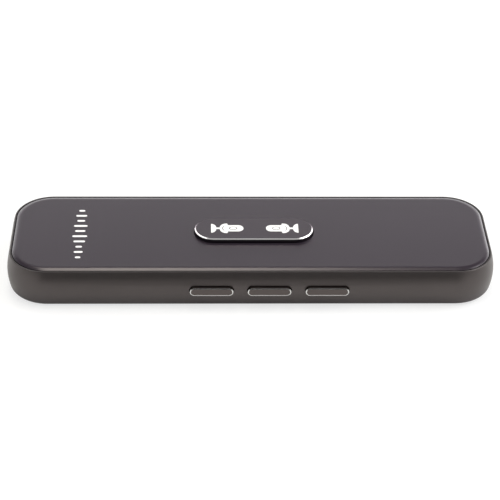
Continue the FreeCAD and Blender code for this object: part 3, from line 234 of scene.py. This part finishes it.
half = FLOOR_SIDE / 2
floor_corners = [(half * x, half * y, -FLOOR_GAP) for x, y in ((-1, -1), (1, -1), (1, 1), (-1, 1))]
floor = sheet("floor", floor_corners, paper_floor())
print("floor side in m:", FLOOR_SIDE)

# %% [markdown]
# Photographers keep a satin wall from looking flat with a black card. It lies along the front of
# the bar, just out of the picture, so that the upper half of the wall mirrors the card and the lower
# half the white paper. Here it stands a little nearer, low on the floor, and is left out of what
# the camera and the lamps see, so that it only shows in mirror images.

# %% Black card
CARD_AWAY = 36 * MM
CARD_LONG = 150 * MM
CARD_HIGH = 8 * MM
CARD_GREY = 0.01
black = bpy.data.materials.new("black_card")
black.use_nodes = True
card_shader = black.node_tree.nodes["Principled BSDF"]
card_shader.inputs["Base Color"].default_value = (CARD_GREY, CARD_GREY, CARD_GREY, 1.0)
card_y = cad_box[0].y - CARD_AWAY
reach = CARD_LONG / 2
card_corners = [(reach * x, card_y, CARD_HIGH * z) for x, z in ((-1, 0), (1, 0), (1, 1), (-1, 1))]
card = sheet("black_card", card_corners, black)
card.visible_camera = False
card.visible_shadow = False
card.visible_diffuse = False

# %% [markdown]
# ## Tools for finishes
#
# Every finish below starts from one Principled shader. Real surfaces are never one even colour:
# their tone drifts slowly, their gloss is uneven and they have a fine relief. Noise in the object's
# own coordinates gives all three, needs no unwrapping, and moves with a piece when it moves. The
# helpers name a noise by the size of its lumps, which is the number one can measure on a thing.

# %% Shader helpers
def new_finish(name):
    material = bpy.data.materials.new(name)
    material.use_nodes = True
    tree = material.node_tree
    return material, tree, tree.nodes["Principled BSDF"]


def place(tree, output="Object"):
    return tree.nodes.new("ShaderNodeTexCoord").outputs[output]


def facing(tree, axis):
    """How far the surface faces along the axis X, Y or Z: 1 is straight along it, -1 straight away."""
    split = tree.nodes.new("ShaderNodeSeparateXYZ")
    tree.links.new(place(tree, "Normal"), split.inputs["Vector"])
    return split.outputs[axis]


def noise(tree, lump, detail=2.0, stretch=(1.0, 1.0, 1.0)):
    """A noise factor whose lumps are about as long as given, drawn out by the stretch."""
    mapping = tree.nodes.new("ShaderNodeMapping")
    mapping.inputs["Scale"].default_value = [1.0 / (lump * share) for share in stretch]
    tree.links.new(place(tree), mapping.inputs["Vector"])
    texture = tree.nodes.new("ShaderNodeTexNoise")
    texture.inputs["Scale"].default_value = 1.0
    texture.inputs["Detail"].default_value = detail
    tree.links.new(mapping.outputs["Vector"], texture.inputs["Vector"])
    return texture.outputs["Fac"]


def spread(tree, factor, low, high, start=0.3, stop=0.7):
    """Brings a factor's middle range to the values given."""
    node = tree.nodes.new("ShaderNodeMapRange")
    node.inputs["From Min"].default_value = start
    node.inputs["From Max"].default_value = stop
    node.inputs["To Min"].default_value = low
    node.inputs["To Max"].default_value = high
    tree.links.new(factor, node.inputs["Value"])
    return node.outputs["Result"]


def two_colours(tree, factor, first, second):
    node = tree.nodes.new("ShaderNodeMix")
    node.data_type = "RGBA"
    tree.links.new(factor, node.inputs["Factor"])
    for socket, colour in ((node.inputs["A"], first), (node.inputs["B"], second)):
        if isinstance(colour, bpy.types.NodeSocket):
            tree.links.new(colour, socket)
        else:
            socket.default_value = (*colour, 1.0)
    return node.outputs["Result"]


def relief(tree, shader, height, depth):
    """A fine relief of the depth given, in metres."""
    node = tree.nodes.new("ShaderNodeBump")
    node.inputs["Distance"].default_value = depth
    tree.links.new(height, node.inputs["Height"])
    tree.links.new(node.outputs["Normal"], shader.inputs["Normal"])


def calculate(tree, operation, first, second=0.0, third=0.0):
    node = tree.nodes.new("ShaderNodeMath")
    node.operation = operation
    for socket, value in zip(node.inputs, (first, second, third)):
        if isinstance(value, bpy.types.NodeSocket):
            tree.links.new(value, socket)
        else:
            socket.default_value = value
    return node.outputs["Value"]


# %% [markdown]
# Most finishes share one recipe, so it is a function too. The mottle is the size of the slow changes
# of tone, and a third of it that of the changes of gloss, which go up and down by the uneven share.
# The grain is the size of the relief.

# %% The shared recipe
def surface(name, colour, rough, metal=0.0, mottle=12 * MM, tone=0.06, grain=0.25 * MM, depth=1e-6,
            stretch=(1.0, 1.0, 1.0), uneven=0.07):
    material, tree, shader = new_finish(name)
    shader.inputs["Metallic"].default_value = metal
    darker = [part * (1 - tone) for part in colour]
    lighter = [part * (1 + tone) for part in colour]
    tint = two_colours(tree, spread(tree, noise(tree, mottle, 3.0), 0.0, 1.0), darker, lighter)
    tree.links.new(tint, shader.inputs["Base Color"])
    gloss = spread(tree, noise(tree, mottle / 3), rough * (1 - uneven), rough * (1 + uneven))
    tree.links.new(gloss, shader.inputs["Roughness"])
    relief(tree, shader, noise(tree, grain, 2.0, stretch), depth)
    return material, tree, shader


# %% [markdown]
# ## The casing
#
# The tub is metal or plastic with a satin grey-brown coat, like many phones of its time. Such a
# coat is dark in itself. What one sees of it is mostly a soft mirror image of the table and of the
# lamps, so its gloss matters more than its colour. The flat rim is a lighter line in the photograph,
# so it is made a little smoother than the wall.

# %% Satin coat
RIM_SMOOTHER = 0.14


def faces_up(tree, start, stop):
    """Rises from 0 to 1 as the surface turns upwards, between the two shares of facing up."""
    return spread(tree, facing(tree, "Z"), 0.0, 1.0, start, stop)


def satin_coat():
    material, tree, shader = surface(
        "casing_paint", (0.005, 0.004, 0.004), 0.36, mottle=18 * MM, grain=0.22 * MM, depth=0.7e-6
    )
    shader.inputs["IOR"].default_value = 1.78
    shader.inputs["Specular Tint"].default_value = (1.0, 0.88, 0.87, 1.0)
    gloss = shader.inputs["Roughness"].links[0].from_socket
    rubbed = calculate(tree, "MULTIPLY", faces_up(tree, 0.9, 0.99), RIM_SMOOTHER)
    tree.links.new(calculate(tree, "SUBTRACT", gloss, rubbed), shader.inputs["Roughness"])
    return material


# %% [markdown]
# ## The top plate
#
# The plate is a smooth lacquered sheet with a touch of violet. It is glossier than the casing, but
# not a mirror: the panel behind it has no edges in the photograph. Its cut edge is made matt and
# nearly black, which is painted shade: it makes the gap round the plate a dark line.

# %% Lacquer
# Painted shade: the cut edge is near black and dull so that the gap round the plate looks dark.
CUT_EDGE_PAINTED_SHADE = (0.008, 0.007, 0.007)
CUT_EDGE_SHADE_SHINE = 0.08
LACQUER_SHINE = 0.5


def dark_lacquer():
    material, tree, shader = surface(
        "plate_gloss", (0.022, 0.016, 0.024), 0.26, mottle=25 * MM, tone=0.05, grain=0.8 * MM,
        depth=0.02e-6, uneven=0.02
    )
    shader.inputs["IOR"].default_value = 1.5
    shader.inputs["Specular Tint"].default_value = (1.0, 0.92, 0.96, 1.0)
    lacquer = shader.inputs["Base Color"].links[0].from_socket
    lacquered = faces_up(tree, 0.2, 0.6)
    # The near-black cut edge below is painted shade for the gap round the plate.
    tree.links.new(two_colours(tree, lacquered, CUT_EDGE_PAINTED_SHADE, lacquer), shader.inputs["Base Color"])
    shine = spread(tree, lacquered, CUT_EDGE_SHADE_SHINE, LACQUER_SHINE, 0.0, 1.0)
    tree.links.new(shine, shader.inputs["Specular IOR Level"])
    return material


# %% [markdown]
# ## The key and the buttons
#
# These are machined pieces: dyed dark all over, and then their edge is cut once more with a
# diamond, which leaves a bright polished bevel. A separate bevel piece could carry that finish, but
# the bevel is part of the same solid. So the shader looks for it by the way the surface leans: on
# the key the bevel leans halfway between up and sideways, and on a button, where it is shallow, it
# leans some 20 degrees from the face.

# %% Dyed metal with a polished bevel
LEAN_SLACK = 0.04
BEVEL_SMOOTHER = 0.05


def diamond_cut(name, colour, axis, lean_angle, shine, tint, index):
    """Dark all over, and bright where the surface leans by the angle given from the axis."""
    material, tree, shader = surface(name, colour, 0.30, mottle=6 * MM, tone=0.05, depth=0.3e-6)
    shader.inputs["IOR"].default_value = index
    shader.inputs["Specular Tint"].default_value = (*tint, 1.0)
    dye = shader.inputs["Base Color"].links[0].from_socket
    gloss = shader.inputs["Roughness"].links[0].from_socket
    lean = calculate(tree, "ABSOLUTE", facing(tree, axis))
    cut = calculate(tree, "COMPARE", lean, math.cos(lean_angle), LEAN_SLACK)
    darker = (shine * 0.97, shine * 0.96, shine * 0.95)
    metal = two_colours(tree, noise(tree, 0.3 * MM), darker, (shine, shine * 0.99, shine * 0.98))
    tree.links.new(two_colours(tree, cut, dye, metal), shader.inputs["Base Color"])
    tree.links.new(cut, shader.inputs["Metallic"])
    polished = calculate(tree, "MULTIPLY", cut, BEVEL_SMOOTHER)
    tree.links.new(calculate(tree, "SUBTRACT", gloss, polished), shader.inputs["Roughness"])
    return material


KEY_BEVEL_ANGLE = math.radians(45)
BUTTON_BEVEL_WIDE = 0.32 * MM
BUTTON_BEVEL_DEEP = 0.12 * MM
BUTTON_BEVEL_ANGLE = math.atan(BUTTON_BEVEL_DEEP / BUTTON_BEVEL_WIDE)


def key_dye():
    return diamond_cut(
        "key_anodised", (0.022, 0.017, 0.023), "Z", KEY_BEVEL_ANGLE, 0.92, tint=(1.0, 0.86, 0.97), index=1.5
    )


def button_dye():
    return diamond_cut(
        "button_anodised", (0.015, 0.011, 0.010), "Y", BUTTON_BEVEL_ANGLE, 0.60,
        tint=(1.0, 0.86, 0.83), index=1.78
    )


# %% [markdown]
# ## Metals, plastics and rubbers inside
#
# Few of these show: the charging socket in the end wall, the cloth behind the sound holes, the
# clear light guide. The others are dressed as well, because the model can be taken apart. Each
# keeps the shared recipe with its own colour, gloss and grain, and a long stretch along one axis
# turns the grain into brush marks.

# %% Plain finishes
ALONG = (14.0, 1.0, 1.0)
ACROSS = (1.0, 14.0, 1.0)
PLAIN_FINISHES = {
    "tape_black": dict(colour=(0.02, 0.02, 0.02), rough=0.7, grain=0.15 * MM, depth=4e-6),
    "steel_pin": dict(colour=(0.62, 0.61, 0.60), rough=0.25, metal=1.0, grain=0.1 * MM, stretch=ACROSS),
    "steel_sheet": dict(colour=(0.55, 0.55, 0.56), rough=0.35, metal=1.0, grain=0.1 * MM, stretch=ALONG),
    "silicone": dict(colour=(0.22, 0.22, 0.23), rough=0.6, grain=0.4 * MM, depth=3e-6),
    "screw_steel": dict(colour=(0.42, 0.42, 0.44), rough=0.38, metal=1.0, mottle=1 * MM, tone=0.15),
    "can_tin": dict(colour=(0.66, 0.66, 0.67), rough=0.42, metal=1.0, mottle=3 * MM, tone=0.12),
    "pad_foam": dict(colour=(0.72, 0.72, 0.68), rough=0.85, grain=0.3 * MM, depth=1e-5),
    "socket_plastic": dict(colour=(0.80, 0.77, 0.68), rough=0.5, grain=0.3 * MM, depth=2e-6),
    "wire_red": dict(colour=(0.55, 0.02, 0.02), rough=0.45, mottle=2 * MM, tone=0.12, depth=2e-6),
    "wire_black": dict(colour=(0.02, 0.02, 0.02), rough=0.45, mottle=2 * MM, tone=0.12, depth=2e-6),
    "speaker_plastic": dict(colour=(0.03, 0.03, 0.03), rough=0.5, grain=0.2 * MM, depth=2e-6),
    "speaker_film": dict(colour=(0.08, 0.08, 0.085), rough=0.3, mottle=4 * MM, grain=1 * MM, depth=4e-6),
    "magnet_nickel": dict(colour=(0.62, 0.60, 0.56), rough=0.28, metal=1.0, mottle=4 * MM, tone=0.10),
    "gasket_foam": dict(colour=(0.04, 0.04, 0.04), rough=0.9, grain=0.12 * MM, depth=2e-5),
    "socket_steel": dict(colour=(0.60, 0.60, 0.61), rough=0.30, metal=1.0, grain=0.08 * MM, stretch=ALONG),
    "socket_black": dict(colour=(0.02, 0.02, 0.02), rough=0.5, grain=0.2 * MM, depth=2e-6),
    "contact_gold": dict(colour=(0.83, 0.60, 0.24), rough=0.3, metal=1.0, mottle=0.5 * MM, grain=0.05 * MM),
    "antenna_ceramic": dict(colour=(0.78, 0.77, 0.74), rough=0.45, grain=0.1 * MM, depth=2e-6),
    "chip_black": dict(colour=(0.028, 0.028, 0.03), rough=0.6, grain=0.06 * MM, depth=3e-6),
    "switch_case": dict(colour=(0.58, 0.58, 0.58), rough=0.4, metal=1.0, grain=0.08 * MM, stretch=ALONG),
    "plunger_plastic": dict(colour=(0.04, 0.04, 0.04), rough=0.45, grain=0.2 * MM, depth=2e-6),
    "dome_steel": dict(colour=(0.64, 0.63, 0.62), rough=0.22, metal=1.0, mottle=1.5 * MM, grain=0.1 * MM),
    "mic_can": dict(colour=(0.72, 0.60, 0.34), rough=0.35, metal=1.0, mottle=1.5 * MM, grain=0.1 * MM),
    "boot_rubber": dict(colour=(0.025, 0.025, 0.025), rough=0.7, grain=0.2 * MM, depth=4e-6),
    "led_body": dict(colour=(0.82, 0.80, 0.66), rough=0.35, mottle=0.6 * MM, grain=0.1 * MM),
}


def plain_finish(slot):
    return surface(slot, **PLAIN_FINISHES[slot])[0]


# %% [markdown]
# ## The board
#
# A circuit board is copper under a thin green lacquer. The copper shows as slightly raised, lighter
# tracks. A pattern of cells stands for them, each filled with straight-sided rings, one in another.

# %% Solder mask
CELL = 3.2 * MM
RING_STEP = 0.12
RING_GAP = 0.07
COPPER_THICK = 12e-6


def solder_mask():
    material, tree, shader = surface("board_mask", (0.010, 0.075, 0.030), 0.32, mottle=15 * MM)
    cells = tree.nodes.new("ShaderNodeTexVoronoi")
    cells.feature = "F1"
    cells.distance = "MANHATTAN"
    cells.inputs["Scale"].default_value = 1.0 / CELL
    tree.links.new(place(tree), cells.inputs["Vector"])
    bands = calculate(tree, "PINGPONG", cells.outputs["Distance"], RING_STEP)
    track = calculate(tree, "GREATER_THAN", bands, RING_GAP)
    under = shader.inputs["Base Color"].links[0].from_socket
    tree.links.new(two_colours(tree, track, under, (0.03, 0.15, 0.06)), shader.inputs["Base Color"])
    relief(tree, shader, track, COPPER_THICK)
    return material


# %% [markdown]
# ## Other finishes that need more than the recipe
#
# The pouch cell is foil pressed over a soft stack, so it is creased. The cloth behind the sound
# holes is a plain weave, made of two sets of waves: a wave texture repeats every tau / 20 of its
# unit. The small resistors have tinned ends, which face along the bar. The light guide is clear
# plastic with a frosted face.

# %% Creased foil
def pouch_foil():
    material, tree, shader = surface("cell_foil", (0.62, 0.62, 0.64), 0.30, metal=1.0, mottle=20 * MM)
    creases = noise(tree, 5 * MM, 5.0, (1.0, 2.5, 1.0))
    relief(tree, shader, creases, 0.12 * MM)
    return material


# %% Woven cloth
THREAD_PITCH = 0.377 * MM
WAVE_REPEAT = math.tau / 20


def sound_cloth():
    material, tree, shader = surface("mesh_cloth", (0.025, 0.025, 0.027), 0.8)
    threads = []
    for direction in ("X", "Y"):
        wave = tree.nodes.new("ShaderNodeTexWave")
        wave.bands_direction = direction
        wave.inputs["Scale"].default_value = WAVE_REPEAT / THREAD_PITCH
        tree.links.new(place(tree), wave.inputs["Vector"])
        threads.append(wave.outputs["Fac"])
    relief(tree, shader, calculate(tree, "MULTIPLY", threads[0], threads[1]), 30e-6)
    return material


# %% Tinned ends
def ceramic_with_ends():
    material, tree, shader = surface("passive_ceramic", (0.36, 0.27, 0.18), 0.5, mottle=1 * MM)
    end = calculate(tree, "GREATER_THAN", calculate(tree, "ABSOLUTE", facing(tree, "X")), 0.5)
    body = shader.inputs["Base Color"].links[0].from_socket
    tree.links.new(two_colours(tree, end, body, (0.66, 0.66, 0.67)), shader.inputs["Base Color"])
    tree.links.new(end, shader.inputs["Metallic"])
    return material


# %% Frosted light guide
def frosted_guide():
    material, tree, shader = surface("guide_clear", (0.86, 0.88, 0.88), 0.35, grain=0.1 * MM, depth=2e-6)
    shader.inputs["Transmission Weight"].default_value = 0.6
    return material


# %% [markdown]
# ## Hanging the finishes on the pieces
#
# Each piece of the frame names the finish that it is meant to have. One small table joins those
# names to the functions above, and a loop gives every piece its material.

# %% Dress the frame
MAKERS = {
    "casing_paint": satin_coat,
    "plate_gloss": dark_lacquer,
    "key_anodised": key_dye,
    "button_anodised": button_dye,
    "board_mask": solder_mask,
    "cell_foil": pouch_foil,
    "mesh_cloth": sound_cloth,
    "passive_ceramic": ceramic_with_ends,
    "guide_clear": frosted_guide,
}
finishes = {}
for part in frame["record"]["subparts"]:
    slot = part["material_slot"]
    if slot not in finishes:
        finishes[slot] = MAKERS[slot]() if slot in MAKERS else plain_finish(slot)
    for index in range(len(nodes[part["node"]].material_slots)):
        nodes[part["node"]].material_slots[index].material = finishes[slot]
print("finishes made:", len(finishes))

# %% [markdown]
# ## Printing
#
# The key carries two white microphone signs, and the left end of the plate a row of white marks.
# Screen-printed ink is a film some hundredths of a millimetre thick. An image would be the usual
# way to lay it on, but a thin solid keeps its edges sharp at any distance. A flat curve does that
# well: it takes any number of outlines, fills them, and leaves open what lies inside an odd one.

# %% Ink
INK_FILM = 0.03 * MM
INK_SINK = 0.005 * MM
WELD = 0.001 * MM
ink = surface(
    "print_white", (0.88, 0.87, 0.87), 0.5, mottle=1.2 * MM, tone=0.04, grain=0.08 * MM, depth=3e-6
)[0]


def printed(name, outlines, level, body):
    """A film of ink on the level given, from closed outlines in millimetres."""
    curve = bpy.data.curves.new(name, "CURVE")
    curve.dimensions = "2D"
    curve.fill_mode = "BOTH"
    curve.extrude = INK_FILM / 2
    for outline in outlines:
        spline = curve.splines.new("POLY")
        spline.points.add(len(outline) - 1)
        for point, (x, y) in zip(spline.points, outline):
            point.co = (x * MM, y * MM, 0.0, 1.0)
        spline.use_cyclic_u = True
    drawing = bpy.data.objects.new(name + "_drawing", curve)
    bpy.context.scene.collection.objects.link(drawing)
    graph = bpy.context.evaluated_depsgraph_get()
    mesh = bpy.data.meshes.new_from_object(drawing.evaluated_get(graph))
    bpy.data.objects.remove(drawing)
    mesh.transform(Matrix.Translation((0.0, 0.0, level + INK_FILM / 2 - INK_SINK)))
    shape = bmesh.new()
    shape.from_mesh(mesh)
    bmesh.ops.remove_doubles(shape, verts=shape.verts, dist=WELD)
    bmesh.ops.recalc_face_normals(shape, faces=shape.faces)
    shape.to_mesh(mesh)
    shape.free()
    mesh.materials.clear()
    mesh.materials.append(ink)
    piece = bpy.data.objects.new(name, mesh)
    bpy.context.scene.collection.objects.link(piece)
    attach(piece, body)
    print(name, "faces", len(mesh.polygons))
    return piece


# %% [markdown]
# A microphone sign is drawn once, lying on its side, from its foot at 0 to its tip. Half of its
# outline is a list of steps: a flared foot, a thin stem, a round cradle with two ears and a long
# capsule. The other half is the same mirrored. A curved slit parts the cradle from the capsule, and
# a ring stands for the slots of the capsule. All of these sizes are in millimetres.

# %% Microphone signs
FOOT_HALF = 2.33
FOOT_LONG = 1.5
STEM_HALF = 0.42
STEM_END = 2.55
CRADLE_HALF = 2.53
CRADLE_LONG = 1.95
EAR_LONG = 0.2
EAR_END = 4.95
CAPSULE_HALF = 1.65
CAPSULE_ROUND = 7.9
SIGN_LONG = 9.47
SLIT_X = 3.25
SLIT_RADIUS = 1.6
SLIT_THICK = 0.2
SLIT_SPREAD = math.radians(50)
RING_X = 6.45
RING_HALF_LONG = 1.2
RING_HALF_WIDE = 0.85
RING_LINE = 0.22
STEPS = 12


def quarter(x, long, high, low, way):
    """A quarter oval that falls from high to low as x grows, or rises when way is -1."""
    points = []
    for step in range(STEPS + 1):
        angle = math.pi / 2 * step / STEPS
        points.append((x + way * long * math.sin(angle), low + (high - low) * math.cos(angle)))
    return points[::way]


def sign_side():
    """The outline's upper half, from the foot to the tip."""
    side = quarter(0.0, FOOT_LONG, FOOT_HALF, STEM_HALF, 1)
    side += quarter(STEM_END + CRADLE_LONG, CRADLE_LONG, CRADLE_HALF, STEM_HALF, -1)
    side.append((STEM_END + CRADLE_LONG + EAR_LONG, CRADLE_HALF))
    side.append((EAR_END, CAPSULE_HALF))
    side += quarter(CAPSULE_ROUND, SIGN_LONG - CAPSULE_ROUND, CAPSULE_HALF, 0.0, 1)
    return side


def oval(x, half_long, half_wide):
    angles = [math.pi / 2 * step / STEPS for step in range(4 * STEPS)]
    return [(x + half_long * math.cos(angle), half_wide * math.sin(angle)) for angle in angles]


def slit():
    """A curved slit that bends round the capsule's end."""
    middle = SLIT_X + SLIT_RADIUS
    sides = []
    for radius in (SLIT_RADIUS, SLIT_RADIUS - SLIT_THICK):
        angles = [SLIT_SPREAD * (2 * step / STEPS - 1) for step in range(STEPS + 1)]
        sides.append([(middle - radius * math.cos(angle), radius * math.sin(angle)) for angle in angles])
    return sides[0] + sides[1][::-1]


def sign_outlines():
    upper = sign_side()
    lower = [(x, -y) for x, y in reversed(upper[:-1])]
    return [
        upper + lower,
        slit(),
        oval(RING_X, RING_HALF_LONG, RING_HALF_WIDE),
        oval(RING_X, RING_HALF_LONG - RING_LINE, RING_HALF_WIDE - RING_LINE),
    ]


SIGN_MIDDLE = 1.15
SIGN_REACH = 12.75
SIGN_Y = -0.05
key_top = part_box("rocker_key")[1].z
for label, way in (("left", 1), ("right", -1)):
    placed = []
    for outline in sign_outlines():
        placed.append([(SIGN_MIDDLE + way * (x - SIGN_REACH), y + SIGN_Y) for x, y in outline])
    sign = printed("microphone_sign_" + label, placed, key_top, "rocker")

# %% [markdown]
# The row of marks at the left end of the plate is a generic sound-level sign: ten upright bars with
# round ends, short, tall and short again. A loop sets them out at an even pitch.

# %% Level bars
BAR_HEIGHTS = (1.6, 2.6, 1.9, 3.4, 4.3, 3.0, 4.0, 2.3, 3.2, 1.8)
BAR_WIDE = 0.9
BAR_PITCH = 2.72
BARS_X = -49.8
BARS_Y = -0.9


def upright_bar(x, y, height, width):
    """A bar along X with half-round ends. Its height runs along X, as the sign reads from that side."""
    radius = width / 2
    straight = height / 2 - radius
    outline = []
    for way, start in ((1, -math.pi / 2), (-1, math.pi / 2)):
        for step in range(2 * STEPS + 1):
            angle = math.pi * step / (2 * STEPS) + start
            outline.append((x + way * straight + radius * math.cos(angle), y + radius * math.sin(angle)))
    return outline


plate_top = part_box("top_plate")[1].z
bars = []
for number, height in enumerate(BAR_HEIGHTS):
    y = BARS_Y + BAR_PITCH * (number - (len(BAR_HEIGHTS) - 1) / 2)
    bars.append(upright_bar(BARS_X, y, height, BAR_WIDE))
level_bars = printed("level_bars", bars, plate_top, "housing")

# %% Sizes
print("frame box:", [tuple(round(value / MM, 2) for value in end) for end in cad_box])
